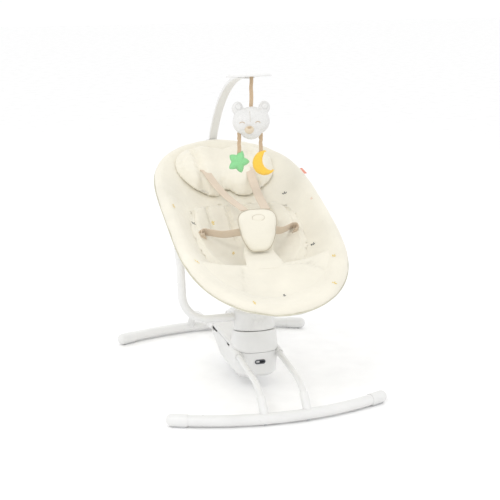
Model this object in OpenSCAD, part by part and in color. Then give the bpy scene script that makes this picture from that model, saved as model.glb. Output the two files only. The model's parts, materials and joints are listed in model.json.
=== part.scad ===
// Electric baby swing: two floor runners, four legs, a drive housing, a turning hub
// with a U-shaped tube, a reclining padded seat and a toy arm.
// +Z is up, the foot end of the seat faces -Y, the origin is on the floor.

/* [Base] */
// Straight distance between the tips of a floor runner
runner_chord = 555; // [500:5:700]
// How far the middle of a runner stands out from the line between its tips
runner_bow = 60.5; // [50:0.5:80]
// Distance between the two runners, measured at their middles
base_depth = 757; // [720:1:860]
// Outside diameter of the runner tube
runner_d = 28; // [24:1:32]
// Outside diameter of the leg tubes
leg_d = 16; // [14:0.5:18]
// Distance between the left and the right leg
leg_gap = 112; // [106:1:116]
// Downward slope of the legs where they leave the housing
leg_slope = 6; // [3:0.5:9]
// Radius of each leg's bend down to its runner
leg_bend_r = 120; // [100:5:150]
// Wall of the runner and leg tubes
tube_wall = 1.5; // [1:0.1:2.5]
// Length of the rubber-footed end caps
cap_len = 40; // [30:1:60]
// Height of the anti-slip pads under the end caps
pad_h = 1.6; // [1:0.1:3]

/* [Housing] */
// Width of the drive housing
housing_w = 122; // [116:1:140]
// Front and rear ends of the drive housing
housing_front = 158; // [150:1:175]
housing_rear = 150; // [140:1:170]
// Height of the joint between the lower and the upper shell
seam_z = 109; // [104:1:116]
// Height of the housing's underside at the front
belly_z = 38; // [30:1:50]
// Wall of the plastic shells
shell_wall = 3; // [2:0.25:4]

/* [Hub and swing tube] */
// Height at which the hub axis leaves the collar
hub_z = 158; // [154:1:166]
// Place of the hub axis in front of the middle of the base
hub_y = 102; // [96:1:108]
// Rearward lean of the hub axis, which brings the seat back to its middle
hub_lean = 10; // [6:0.5:14]
// Diameter of the hub
hub_d = 108; // [100:1:110]
// Height of the hub
hub_h = 58; // [56:1:70]
// Outside diameter of the swing tube
swing_d = 22; // [20:0.5:25]
// Half the distance between the two upright arms of the swing tube
swing_half_w = 191; // [180:1:196]
// Radius of the two lower bends of the swing tube
swing_bend = 68; // [50:1:90]
// Height of the recline axis above the collar, along the hub axis
pivot_up = 245.7; // [235:0.1:255]
// Diameter of the drive shaft
shaft_d = 16; // [14:0.5:18]

/* [Seat] */
// Half the width of the padded rim
rim_half_w = 219; // [200:1:240]
// Half the length of the padded rim, measured level
rim_half_l = 345; // [320:1:360]
// Middle of the rim in front of the middle of the base
rim_mid = 40; // [30:1:50]
// Height of the rim above the middle of the base
rim_z0 = 472; // [465:1:490]
// Recline of the seat from level
recline = 21.5; // [19:0.5:25]
// How far the foot end dips below the straight line
foot_dip = 37; // [20:1:45]
// Depth of the sling below the rim
sling_depth = 100; // [80:1:110]
// Radius of the padded rim
rim_pad_r = 13; // [12:0.5:16]
// Diameter of the seat's ring tube
ring_d = 16; // [14:0.5:18]
// Thickness of the sling
sling_t = 6; // [4:0.5:8]
// Width of the harness webbing
webbing_w = 24; // [20:1:30]
// Thickness of the harness webbing
webbing_t = 2.4; // [1.6:0.1:3]

/* [Toys] */
// Radius of the toy arm's curve
toy_r = 405; // [380:1:430]
// Width and thickness of the toy arm
toy_w = 22; // [16:1:26]
toy_t = 9; // [7:0.5:12]
// Diameter of the round plate at the tip of the toy arm
plate_d = 117; // [100:1:140]
// Length of the ribbon between the plate and the bear's head
ribbon_len = 81; // [60:1:90]

/* [Hidden] */
$fn = 64;

white = [0.94, 0.94, 0.93];
grey = [0.25, 0.26, 0.28];
steel = [0.72, 0.73, 0.75];
cream = [0.95, 0.93, 0.86];
beige = [0.87, 0.8, 0.7];

fit = 0.15;       // radial clearance of parts that are pushed together
run_fit = 0.04;   // radial clearance of parts that turn in each other
gap = 0.6;        // clearance between parts that pass each other
eps = 0.02;

// ---- runners and legs ----
runner_r = runner_d / 2;
cap_r = runner_r + 1.5;
runner_z = pad_h + cap_r;
runner_arc = (pow(runner_chord / 2, 2) + pow(runner_bow, 2)) / (2 * runner_bow);
runner_half_angle = asin(runner_chord / 2 / runner_arc);
cap_angle = cap_len / runner_arc * 180 / PI;
leg_x = leg_gap / 2;
leg_r = leg_d / 2;
leg_start_y = 88;
leg_start_z = 107;
screw_r = 2;
socket_wall = 2.8;
leg_run = base_depth / 2 - runner_arc + sqrt(pow(runner_arc, 2) - pow(leg_x, 2)) - leg_start_y;
leg_drop = leg_start_z - runner_z;
leg_bend = acos(1 - (leg_drop * cos(leg_slope) - leg_run * sin(leg_slope)) / leg_bend_r);
leg_straight = (leg_run - leg_bend_r * (sin(leg_slope + leg_bend) - sin(leg_slope))) / cos(leg_slope);
// Angles along the bend that the runner's tube and the leg socket take up
runner_turn = runner_r / leg_bend_r * 180 / PI;
socket_turn = 36 / leg_bend_r * 180 / PI;
seat_turn = 4 / leg_bend_r * 180 / PI;

// Puts children at a runner: the arc's centre is the origin and the arc's middle lies on -Y
module at_runner(side) {
    rotate([0, 0, side > 0 ? 180 : 0]) translate([0, runner_arc - base_depth / 2, runner_z]) children();
}

module arc_tube(from, to, r) {
    rotate([0, 0, from - 90]) rotate_extrude(angle = to - from, $fn = 360) translate([runner_arc, 0]) circle(r, $fn = 48);
}

module runner_solid(side, r) {
    at_runner(side) arc_tube(-runner_half_angle, runner_half_angle, r);
}

module runner(side) {
    color(white) difference() {
        runner_solid(side, runner_r);
        at_runner(side) arc_tube(-runner_half_angle - 1, runner_half_angle + 1, runner_r - tube_wall);
        for (s = [-1, 1]) at_leg_end(s, side) translate([0, 0, -screw_r]) cylinder(h = 60, r = screw_r + 0.2, center = true);
    }
}

// Rounded tip of an end cap: a dome of revolution, a little narrower than the cap
module cap_tip() {
    r = cap_r - 0.3;
    rotate_extrude() polygon([[0, 0], [r, 0], [r, 1], [r * 0.97, 4.3], [r * 0.87, 7.8], [r * 0.7, 11], [r * 0.45, 13.4],
        [r * 0.2, 14.6], [0, 15]]);
}

module end_caps(side) {
    color(white) for (s = [-1, 1]) at_runner(side) difference() {
        a = s > 0 ? runner_half_angle - cap_angle : -runner_half_angle;
        union() {
            arc_tube(a, a + cap_angle, cap_r);
            rotate([0, 0, s * runner_half_angle]) translate([-s * 0.5, -runner_arc, 0]) rotate([0, s * 90, 0]) cap_tip();
        }
        arc_tube(-runner_half_angle, runner_half_angle, runner_r + fit);
    }
}

module end_pads(side) {
    pad_l = cap_len - 8;
    color(grey) for (s = [-1, 1]) difference() {
        at_runner(side) rotate([0, 0, s * (runner_half_angle - cap_angle / 2)])
            translate([-pad_l / 2, -runner_arc - 8, -runner_z]) cube([pad_l, 16, 5]);
        at_runner(side) arc_tube(-runner_half_angle - 1, runner_half_angle + 1, cap_r + eps);
    }
}

// Leg frame: +X runs forwards along the leg from the housing, Z is up
module at_leg(side_x, side_y) {
    rotate([0, 0, side_y > 0 ? 180 : 0]) translate([-side_y * side_x * leg_x, -leg_start_y, leg_start_z])
        rotate([0, 0, -90]) rotate([0, leg_slope, 0]) children();
}

// Frame at the point where a leg's line meets the middle of its runner, +Z back up the leg
module at_leg_end(side_x, side_y) {
    at_leg(side_x, side_y) translate([leg_straight, 0, -leg_bend_r]) rotate([0, leg_bend, 0])
        translate([0, 0, leg_bend_r]) rotate([0, -90, 0]) children();
}

// Stretch of a leg's bend between two angles measured back from the runner
module leg_arc(side_x, side_y, from, to, r) {
    at_leg(side_x, side_y) translate([leg_straight, 0, -leg_bend_r]) rotate([90, 0, 0])
        rotate([0, 0, 90 - leg_bend + from]) rotate_extrude(angle = to - from, $fn = 180)
            translate([leg_bend_r, 0]) circle(r);
}

// Straight tube from the housing and the bend down to the runner, as one rod of radius r
module leg_rod(r, extra) {
    translate([-extra, 0, 0]) rotate([0, 90, 0]) cylinder(h = leg_straight + extra, r = r);
    translate([leg_straight, 0, -leg_bend_r]) rotate([-90, -90, 0])
        rotate_extrude(angle = leg_bend - runner_turn - seat_turn + extra) translate([leg_bend_r, 0]) circle(r);
}

module leg(side_x, side_y) {
    color(white) at_leg(side_x, side_y) difference() {
        leg_rod(leg_r, 0);
        leg_rod(leg_r - tube_wall, 1);
    }
}

module leg_sockets(side_y) {
    color(white) for (s = [-1, 1]) difference() {
        leg_arc(s, side_y, 0, runner_turn + seat_turn + socket_turn, leg_r + socket_wall);
        leg_arc(s, side_y, runner_turn + seat_turn - 0.1, leg_bend, leg_r + fit);
        at_leg_end(s, side_y) translate([0, 0, -1]) cylinder(h = 40, r = screw_r + fit);
        runner_solid(side_y, runner_r + fit);
    }
}

module socket_screws() {
    color(steel) for (s = [-1, 1], f = [-1, 1]) at_leg_end(s, f) {
        translate([0, 0, -runner_r - 0.2]) cylinder(h = 2 * runner_r + 3, r = screw_r);
        translate([0, 0, -runner_r - 2]) cylinder(h = 1.8, r = 3.6);
    }
}

// ---- drive housing ----
housing_r = 46;
collar_w = 120;
collar_d = 114;
collar_r = 46;
boss_r = leg_r + 2.6;
shell_gap = 1.4;
deck_h = 10;

module at_hub() { translate([0, -hub_y, hub_z]) rotate([-hub_lean, 0, 0]) children(); }

// Thin level plate with round corners, the outline of the housing at one height
module plate(half_w, front, rear, r, z, inset) {
    for (sx = [-1, 1]) {
        translate([sx * (half_w - r), -front + r, z]) cylinder(h = 1, r = r - inset, $fn = 48);
        translate([sx * (half_w - r), rear - r, z]) cylinder(h = 1, r = r - inset, $fn = 48);
    }
}

module hull_body(inset, top) {
    half = housing_w / 2;
    hull() {
        plate(half, housing_front, housing_rear, housing_r, top - 1, inset);
        plate(half - 2, housing_front - 1, housing_rear - 2, housing_r - 2, seam_z - 22, inset);
        plate(half - 5, housing_front - 8, housing_rear - 90, housing_r - 10, belly_z + 9 + inset, inset);
        plate(half - 12, housing_front - 17, housing_rear - 110, housing_r - 12, belly_z + inset, inset);
    }
}

module lower_shell() {
    color(white) difference() {
        union() {
            difference() {
                hull_body(0, seam_z);
                hull_body(shell_wall, seam_z + 2);
            }
            intersection() {
                hull_body(0, seam_z);
                posts();
            }
            for (s = [-1, 1], f = [-1, 1]) at_leg(s, f) rotate([0, 90, 0]) cylinder(h = f < 0 ? 62 : 58, r = boss_r);
        }
        for (s = [-1, 1], f = [-1, 1]) at_leg(s, f) translate([-40, 0, 0]) rotate([0, 90, 0])
            cylinder(h = 120, r = leg_r + fit);
        switch_hole(fit);
        translate([0, housing_rear, jack_z]) rotate([90, 0, 0]) cylinder(h = 30, r = jack_r + fit, center = true);
    }
}

module posts() {
    at_hub() translate([0, coil_y, -130]) cylinder(h = 130 + coil_low, r = 9);
    at_hub() for (s = [-1, 1]) translate([s * bumper_x, bumper_y, -130]) cylinder(h = 130 + bumper_low, r = 7);
    for (sx = [-1, 1], y = board_posts) translate([sx * 24, y, 30]) cylinder(h = board_z - 30, r = 3.5);
}

module collar(inset, low, up) {
    hull() {
        translate([0, -hub_y, low]) for (sx = [-1, 1], sy = [-1, 1])
            translate([sx * (collar_w / 2 - collar_r), sy * (collar_d / 2 - collar_r), 0])
                cylinder(h = 1, r = collar_r - inset, $fn = 48);
        at_hub() for (sx = [-1, 1], sy = [-1, 1])
            translate([sx * (collar_w / 2 - collar_r - 3), sy * (collar_d / 2 - collar_r - 3), up - 1])
                cylinder(h = 1, r = collar_r - inset, $fn = 48);
    }
}

module deck(inset, low, top) {
    hull() {
        plate(housing_w / 2, housing_front, housing_rear, housing_r, low, inset);
        plate(housing_w / 2, housing_front, housing_rear, housing_r, top - 5, inset);
        plate(housing_w / 2 - 6, housing_front - 6, housing_rear - 6, housing_r - 6, top - 1, inset);
    }
}

module upper_shell() {
    low = seam_z + shell_gap;
    color(white) difference() {
        union() {
            deck(0, low, low + deck_h);
            collar(0, low, 0);
        }
        deck(shell_wall, low - 2, low + deck_h - shell_wall);
        collar(shell_wall, low - 2, -shell_wall);
        at_hub() translate([0, 0, -20]) cylinder(h = 40, r = shaft_d / 2 + 4);
        for (s = [-1, 1], f = [-1, 1]) at_leg(s, f) translate([-gap, 0, 0]) rotate([0, 90, 0])
            cylinder(h = 63, r = boss_r + gap);
        for (i = [-3:3]) translate([i * 8, speaker_y, low]) cylinder(h = 30, r = 1.6);
        for (i = [-2:2], k = [-1, 1]) translate([i * 8, speaker_y + k * 8, low]) cylinder(h = 30, r = 1.6);
    }
}

// ---- power switch and mains inlet ----
switch_z = 84;
switch_w = 26;
switch_h = 9;
switch_face = -housing_front + 1;

// Slot with round ends, standing on the front wall
module slot_prism(w, h, y0, depth) {
    translate([0, y0, switch_z]) rotate([90, 0, 0]) linear_extrude(height = depth) {
        square([w - h, h], center = true);
        for (s = [-1, 1]) translate([s * (w - h) / 2, 0]) circle(h / 2);
    }
}

module switch_hole(extra) { slot_prism(switch_w + 2 * extra, switch_h + 2 * extra, switch_face + 20, 40); }

module switch_bezel() {
    color(grey) difference() {
        union() {
            slot_prism(switch_w, switch_h, switch_face + 16, 17.2);
            slot_prism(switch_w + 3, switch_h + 3, switch_face - 0.3, 1.2);
        }
        slot_prism(switch_w - 3, switch_h - 3, switch_face + 7, 20);
    }
}

module power_switch() {
    color([0.85, 0.85, 0.84]) {
        translate([-6, 0, 0]) slot_prism(9, switch_h - 4.2, switch_face + 6.4, 6.2);
        translate([-6.6, switch_face - 0.6, switch_z - 2.2]) cube([1.2, 2, 4.4]);
    }
}

jack_z = 92;
jack_r = 9;
module dc_socket() {
    color(grey) translate([0, housing_rear + 0.4, jack_z]) rotate([90, 0, 0]) {
        difference() {
            union() {
                cylinder(h = 16, r = jack_r);
                cylinder(h = 1.6, r = jack_r);
            }
            translate([0, 0, -1]) cylinder(h = 12, r = 6.6);
        }
        translate([0, 0, 2]) cylinder(h = 10, r = 0.9);
    }
}

// ---- drive, inside the housing ----
shaft_r = shaft_d / 2;
bearing_r = shaft_r + 8;
bearing_h = 10;
lever_z = -76;
lever_t = 10;
coil_y = 90;
coil_low = -97;
coil_r = 20;
bumper_y = 60;
bumper_x = 31;
bumper_low = -96;
board_z = 78;
board_posts = [62, 112];
speaker_y = 112;

module bearing_carrier() {
    color(white) at_hub() difference() {
        union() {
            translate([0, 0, -62]) cylinder(h = 62 - shell_wall - 0.2, r = bearing_r + 4);
            translate([0, 0, -shell_wall - 4.2]) cylinder(h = 4, r = bearing_r + 16);
        }
        translate([0, 0, -70]) cylinder(h = 80, r = shaft_r + 3);
        translate([0, 0, -63]) cylinder(h = bearing_h + 1.4, r = bearing_r + run_fit);
        translate([0, 0, -shell_wall - 0.4 - bearing_h]) cylinder(h = bearing_h + 2, r = bearing_r + run_fit);
    }
}

module shaft_bearings() {
    color(steel) at_hub() for (z = [-62, -shell_wall - 0.2 - bearing_h]) translate([0, 0, z]) difference() {
        cylinder(h = bearing_h, r = bearing_r);
        translate([0, 0, -1]) cylinder(h = bearing_h + 2, r = shaft_r + run_fit);
    }
}

module main_shaft() {
    color(steel) at_hub() union() {
        translate([0, 0, lever_z - 2]) cylinder(h = 20 + 2 - lever_z, r = shaft_r);
        translate([0, 0, -shell_wall + 0.5]) cylinder(h = shell_wall + 1.2, r = shaft_r + 2.5);
    }
}

module drive_lever() {
    color(grey) at_hub() translate([0, 0, lever_z]) difference() {
        union() {
            cylinder(h = lever_t, r = shaft_r + 7);
            translate([-9, 0, 0]) cube([18, coil_y, lever_t]);
            translate([0, coil_y, 0]) cylinder(h = lever_t, r = 14);
        }
        translate([0, 0, -1]) cylinder(h = lever_t + 2, r = shaft_r + run_fit);
    }
}

module drive_magnet() {
    color(steel) at_hub() translate([0, coil_y, lever_z - 6.1]) cylinder(h = 6, r = 12);
}

module drive_coil() {
    color([0.72, 0.42, 0.2]) at_hub() translate([0, coil_y, coil_low + 0.1]) difference() {
        cylinder(h = 13, r = coil_r);
        translate([0, 0, -1]) cylinder(h = 15, r = 7);
    }
}

module stop_bumpers() {
    color(grey) at_hub() for (s = [-1, 1]) translate([s * bumper_x, bumper_y, bumper_low + 0.1])
        cylinder(h = lever_z + lever_t - bumper_low, r = 6);
}

module circuit_board() {
    color([0.1, 0.4, 0.2]) translate([0, 87, board_z + 0.1]) {
        translate([-32, -32, 0]) cube([64, 64, 1.6]);
        translate([-12, -10, 1.6]) cube([20, 20, 3]);
        translate([14, -24, 1.6]) cube([10, 14, 8]);
    }
}

module speaker() {
    color(grey) translate([0, speaker_y, seam_z + shell_gap + deck_h - shell_wall - 10.2]) difference() {
        cylinder(h = 10, r = 21);
        translate([0, 0, 6]) cylinder(h = 5, r1 = 12, r2 = 19);
    }
}

// ---- turning hub ----
hub_r = hub_d / 2;
hub_low = 2;
hub_wall = 3;
tube_up = 36.5;
hub_screw_x = [-34, 34];
hub_screw_z = [14, hub_h - 6.5];
swing_r = swing_d / 2;

module hub_outline(inset, low, top) {
    round_r = 14 - inset;
    rotate_extrude() {
        translate([0, low]) square([hub_r - inset, top - low - round_r]);
        translate([0, low]) square([hub_r - inset - round_r, top - low]);
        translate([hub_r - inset - round_r, top - round_r]) intersection() {
            circle(round_r);
            square(round_r);
        }
    }
}

module hub_cover(side) {
    color(white) at_hub() difference() {
        union() {
            difference() {
                hub_outline(0, hub_low, hub_h);
                hub_outline(hub_wall, hub_low + hub_wall, hub_h - hub_wall);
            }
            for (x = hub_screw_x, z = hub_screw_z) intersection() {
                hub_outline(0, hub_low, hub_h);
                translate([x, 0, z]) rotate([90, 0, 0]) cylinder(h = 100, r = 4.5, center = true);
            }
        }
        translate([-100, side < 0 ? -0.1 : -199.9, -50]) cube([200, 200, 200]);
        translate([0, 0, tube_up]) rotate([0, 90, 0]) cylinder(h = 200, r = swing_r + fit, center = true);
        translate([0, 0, -10]) cylinder(h = 20, r = shaft_r + 3);
        for (x = hub_screw_x, z = hub_screw_z) translate([x, -18, z]) rotate([-90, 0, 0]) {
            cylinder(h = 100, r = screw_r + 0.1);
            translate([0, 0, 44]) cylinder(h = 60, r = 4);
        }
        panel_block(fit, -hub_r + 12, 20);
    }
}

module hub_core() {
    color(grey) at_hub() difference() {
        translate([-24, -22, hub_low + hub_wall + 0.2]) cube([48, 44, hub_h - 2 * hub_wall - hub_low - 0.6]);
        translate([0, 0, tube_up]) rotate([0, 90, 0]) cylinder(h = 100, r = swing_r + fit, center = true);
        translate([0, 0, -1]) cylinder(h = 21.2, r = shaft_r + run_fit);
    }
}

module hub_screws() {
    color(steel) at_hub() for (x = hub_screw_x, z = hub_screw_z) translate([x, -14, z]) rotate([-90, 0, 0]) {
        cylinder(h = 40, r = screw_r);
        translate([0, 0, 40.1]) cylinder(h = 2.2, r = 3.6);
    }
}

// ---- control panel on the front of the hub ----
panel_w = 46;
panel_h = 15;
panel_up = 26;
button_gap = 13;

// Block with round ends that runs forwards from y0, in the hub's frame
module panel_block(grow, y0, depth) {
    translate([0, y0, panel_up]) rotate([90, 0, 0]) linear_extrude(height = depth) {
        square([panel_w - panel_h + 2 * grow, panel_h + 2 * grow], center = true);
        for (s = [-1, 1]) translate([s * (panel_w - panel_h) / 2, 0]) circle(panel_h / 2 + grow);
    }
}

module control_panel() {
    color([0.9, 0.9, 0.89]) difference() {
        intersection() {
            at_hub() panel_block(0, -hub_r + 11.8, 13);
            at_hub() translate([0, 0, -5]) cylinder(h = 80, r = hub_r + 0.4);
        }
        for (i = [-1:1]) at_hub() translate([i * button_gap, -hub_r + 9, panel_up]) rotate([90, 0, 0])
            cylinder(h = 20, r = 4.2);
    }
}

module panel_button(i) {
    color(white) intersection() {
        at_hub() translate([i * button_gap, -hub_r + 7.2, panel_up]) rotate([90, 0, 0]) cylinder(h = 10, r = 4);
        at_hub() translate([0, 0, -5]) cylinder(h = 80, r = hub_r + 1.2);
    }
}

// ---- swing tube and recline joints ----
arm_top = pivot_up - 17;

module swing_solid(r, extra) {
    bend_x = swing_half_w - swing_bend;
    translate([0, 0, tube_up]) rotate([0, 90, 0]) cylinder(h = 2 * bend_x, r = r, center = true);
    for (s = [0, 1]) mirror([s, 0, 0]) {
        translate([bend_x, 0, tube_up + swing_bend]) rotate([90, 0, 0]) rotate([0, 0, -90])
            rotate_extrude(angle = 90) translate([swing_bend, 0]) circle(r);
        translate([swing_half_w, 0, tube_up + swing_bend])
            cylinder(h = arm_top - tube_up - swing_bend + extra, r = r);
    }
}

module swing_tube() {
    color(white) at_hub() difference() {
        swing_solid(swing_r, 0);
        swing_solid(swing_r - tube_wall, 1);
    }
}

socket_r = 15;
pin_r = 4;
disc_in = swing_half_w - 12;     // inner and outer face of the fixed disc
disc_out = swing_half_w + 4;
plate_out = disc_out + 7;        // outer face of the moving bracket

module at_pivot(s) { at_hub() translate([0, 0, pivot_up]) rotate([0, s * 90, 0]) children(); }

module recline_sockets() {
    color(white) for (s = [-1, 1]) difference() {
        union() {
            at_pivot(s) translate([0, 0, disc_in]) cylinder(h = disc_out - disc_in, r = socket_r);
            at_hub() translate([s * swing_half_w, 0, pivot_up - 44]) cylinder(h = 44 - socket_r, r = swing_r + 2.6);
        }
        at_hub() translate([s * swing_half_w, 0, pivot_up - 60]) cylinder(h = arm_top - pivot_up + 60.1, r = swing_r + fit);
        at_pivot(s) translate([0, 0, disc_in - 1]) cylinder(h = 60, r = pin_r + fit);
        at_pivot(s) translate([0, 0, disc_out]) cylinder(h = 60, r = socket_r + 3);
    }
}

module pivot_pins() {
    color(steel) for (s = [-1, 1]) at_pivot(s) {
        translate([0, 0, disc_in - 0.2]) cylinder(h = plate_out - 4.6 - disc_in, r = pin_r);
        translate([0, 0, disc_in - 2.2]) cylinder(h = 2, r = 6.5);
    }
}

module recline_brackets() {
    color(grey) for (s = [-1, 1]) difference() {
        union() {
            at_pivot(s) translate([0, 0, disc_out + gap]) cylinder(h = plate_out - disc_out - gap, r = socket_r);
            translate([s * (disc_out + gap), pivot_y - 11, pivot_z]) mirror([s < 0 ? 1 : 0, 0, 0]) bracket_arm();
        }
        at_pivot(s) translate([0, 0, disc_in]) cylinder(h = 60, r = pin_r + run_fit);
        at_pivot(s) translate([0, 0, plate_out - 4.2]) cylinder(h = 10, r = button_r + 0.3);
        translate([s * (rim_half_w - rim_pad_r), pivot_y, rim_z(pivot_y)]) rotate([recline - 90, 0, 0])
            cylinder(h = 80, r = ring_d / 2 + 0.4, center = true);
    }
}

// Side plate that carries the seat's ring, drawn for the right-hand side
module bracket_arm() {
    thick = plate_out - disc_out - gap;
    rise = rim_z(pivot_y) - pivot_z - 1;
    lean = rim_half_w - rim_pad_r - plate_out + 3;
    translate([0, 22, 0]) rotate([90, 0, 0]) linear_extrude(height = 22)
        polygon([[0, 0], [thick, 0], [thick + lean, rise - 20], [thick + lean, rise], [lean, rise],
            [lean, rise - 14], [0, rise - 28]]);
}

button_r = 9;
module recline_button(s) {
    color([0.8, 0.8, 0.79]) at_pivot(s) translate([0, 0, plate_out - 2]) cylinder(h = 4.2, r = button_r);
}

// ---- seat surfaces ----
rim_taper = 0.015;
long_power = 3.85;     // squareness of the rim's outline along its length
side_power = 1.9;      // and across its width
pivot_y = -hub_y + pivot_up * sin(hub_lean);
pivot_z = hub_z + pivot_up * cos(hub_lean);

function signed_pow(v, e) = sign(v) * pow(abs(v), e);
function rim_z(y) = rim_z0 + y * tan(recline) - foot_dip * pow(max(0, -y / (rim_half_l + rim_mid)), 2.5);
function rim_u(y, inset) = (y + rim_mid) / (rim_half_l - inset);
function half_w(u, inset) = (rim_half_w - inset) * (1 - rim_taper * u);
function outline(t, inset) = let (u = signed_pow(sin(t), 2 / long_power))
    [half_w(u, inset) * signed_pow(cos(t), 2 / side_power), u * (rim_half_l - inset) - rim_mid];
function level(x, y, inset) = let (u = rim_u(y, inset))
    pow(abs(x) / half_w(u, inset), side_power) + pow(abs(u), long_power);
function sling_drop(y) = 38 + (sling_depth - 38) * exp(-pow((y + 90) / 150, 2));
function sling_z(x, y) = rim_z(y) - sling_drop(y) * (1 - pow(min(1, level(x, y, sling_inset)), 1.2));
sling_inset = 2 * rim_pad_r + 1;

// Closed skin through rings of points: a loop of rings, or a stack closed by its end rings
module skin(rings, loop) {
    n = len(rings[0]);
    m = len(rings);
    points = [for (ring = rings) for (p = ring) p];
    sides = [for (i = [0:m - (loop ? 1 : 2)], j = [0:n - 1]) let (a = i * n, b = ((i + 1) % m) * n, k = (j + 1) % n)
        each [[a + j, b + j, b + k], [a + j, b + k, a + k]]];
    ends = loop ? [] : [[for (j = [0:n - 1]) j], [for (j = [n - 1:-1:0]) (m - 1) * n + j]];
    polyhedron(points = points, faces = concat(sides, ends));
}

function unit(v) = v / norm(v);
function ring_point(t, inset) = let (p = outline(t, inset)) [p[0], p[1], rim_z(p[1])];
up_normal = [0, -sin(recline), cos(recline)];

// Rings of a section swept round the rim; a section point is [outwards, upwards]
function rim_rings(section, steps) = [for (i = [0:steps - 1]) let (t = rim_angle(i * 360 / steps),
        p = ring_point(t, rim_pad_r), along = unit(ring_point(t + 1, rim_pad_r) - ring_point(t - 1, rim_pad_r)),
        out = unit(cross(along, up_normal)), up = unit(cross(out, along)))
    [for (q = section) p + q[0] * out + q[1] * up]];
// Spreads the steps evenly round the rim's flat head and foot ends
function rim_angle(a) = a - 18 * sin(2 * a);

module seat_ring() {
    section = [for (a = [0:36:324]) [ring_d / 2 * cos(a), ring_d / 2 * sin(a)]];
    color(white) skin(rim_rings(section, 64), true);
}

module rim_pad() {
    inner = ring_d / 2 + 0.8;
    section = concat([for (a = [-40:26:220]) [rim_pad_r * cos(a), rim_pad_r * sin(a)]],
        [for (a = [215:-28:-37]) [inner * cos(a), inner * sin(a)]]);
    color(cream) skin(rim_rings(section, 64), true);
}

module seat_sling() {
    steps = 56;
    radii = [0.06, 0.3, 0.5, 0.65, 0.78, 0.88, 0.95, 1];
    low = [for (r = radii) sling_ring(r, -sling_t, steps)];
    high = [for (i = [len(radii) - 1:-1:0]) sling_ring(radii[i], 0, steps)];
    color(cream) skin(concat(low, high), false);
}

function sling_ring(r, lift, steps) = [for (i = [0:steps - 1]) let (p = outline(rim_angle(i * 360 / steps), sling_inset),
    x = p[0] * r, y = (p[1] + rim_mid) * r - rim_mid) [x, y, sling_z(x, y) + lift]];

// Cushion lying over the sling: rounded outline, even base, domed top
function pad_ring(mid, size, r, power, lift, dome, steps) = [for (i = [0:steps - 1]) let (t = i * 360 / steps,
    x = mid[0] + size[0] * r * signed_pow(cos(t), 2 / power),
    y = mid[1] + size[1] * r * signed_pow(sin(t), 2 / power))
    [x, y, pad_base(x, y) + lift + dome * (1 - pow(r, 4))]];
function pad_base(x, y) = sling_z(x, y) + 4.8 + rim_lift * pow(min(1, level(x, y, 0) / 0.7), 3);
rim_lift = 6;

module pad(mid, size, power, edge, dome) {
    radii = [0.08, 0.4, 0.7, 0.88, 1];
    low = [for (r = radii) pad_ring(mid, size, r, power, 0, 0, 40)];
    high = [for (i = [len(radii) - 1:-1:0]) pad_ring(mid, size, radii[i], power, edge, dome, 40)];
    color(cream) skin(concat(low, high), false);
}

pillow_low = 100;
pillow_high = 262;
pillow_half_w = 152;
insert_low = -184;
insert_half_w = 158;
seam_space = 4;
lip_depth = 30;      // how far the lip of the leg rest lies below the rim
leg_inset = 30;      // space between the rim's outer edge and the leg rest
leg_mid = -275;

module head_pillow() {
    pad([0, (pillow_low + pillow_high) / 2], [pillow_half_w, (pillow_high - pillow_low) / 2], 2.2, 6, 22);
}

module body_insert() {
    top = pillow_low - seam_space;
    pad([0, (insert_low + top) / 2], [insert_half_w, (top - insert_low) / 2], 3.2, 4, 9);
}

// Leg rest: a raised lip behind the knees, level with the rim's underside and filling its foot end
lip_y = insert_low - seam_space;
lip_angle = asin(pow((-lip_y - rim_mid) / (rim_half_l - leg_inset), long_power / 2));
leg_side = [for (i = [0:26]) outline(180 + lip_angle + (180 - 2 * lip_angle) * i / 26, leg_inset)];
leg_edge = concat(leg_side, [for (i = [1:11]) lerp(leg_side[26], leg_side[0], i / 12)]);
function leg_low(x, y) = sling_z(x, y) + 4.8;
function leg_high(x, y) = max(leg_low(x, y) + 4,
    rim_z(y) - lip_depth * (1 - pow(min(1, level(x, y, sling_inset)), 1.5)));

function leg_ring(r, upper) = [for (p = leg_edge) let (x = p[0] * r, y = leg_mid + (p[1] - leg_mid) * r)
    [x, y, upper ? leg_high(x, y) : leg_low(x, y)]];

module leg_rest_pad() {
    radii = [0.08, 0.3, 0.5, 0.7, 0.86, 1];
    low = [for (r = radii) leg_ring(r, false)];
    high = [for (i = [len(radii) - 1:-1:0]) leg_ring(radii[i], true)];
    color(cream) skin(concat(low, high), false);
}

// ---- harness ----
strap_x = 64;
strap_y = 157;
cover_top = [0, -112, 484];
cover_tip = [0, -146, 381];
cover_half_w = 57;   // half the width of the buckle's cover near its top
cover_tip_w = 36;    // and near its tip
cover_down = unit(cover_tip - cover_top);
cover_out = [0, cover_down[2], -cover_down[1]];
cover_t = 14;

// Flat webbing through a list of points; across is its width direction at every point
module webbing(points, across, widths) {
    rings = [for (i = [0:len(points) - 1]) let (p = points[i], a = unit(across[i]),
            along = unit(points[min(i + 1, len(points) - 1)] - points[max(i - 1, 0)]), n = unit(cross(along, a)))
        [for (q = [[-1, -1], [1, -1], [1, 1], [-1, 1]]) p + a * q[0] * widths[i] / 2 + n * q[1] * webbing_t / 2]];
    skin(rings, false);
}

function lerp(a, b, f) = a + (b - a) * f;
function hang(a, b, dip, steps) = [for (i = [0:steps]) let (f = i / steps)
    lerp(a, b, f) - [0, 0, dip * 4 * f * (1 - f)]];

module shoulder_straps() {
    color(beige) for (s = [-1, 1]) {
        start = [s * strap_x, strap_y, pad_base(strap_x, strap_y) + 32];
        finish = [s * 28, cover_top[1] + 6, cover_top[2] + 2];
        points = hang(start, finish, 10, 8);
        webbing(points, [for (i = [0:8]) [1, -s * 0.16, 0]], [for (i = [0:8]) webbing_w]);
    }
}

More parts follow.
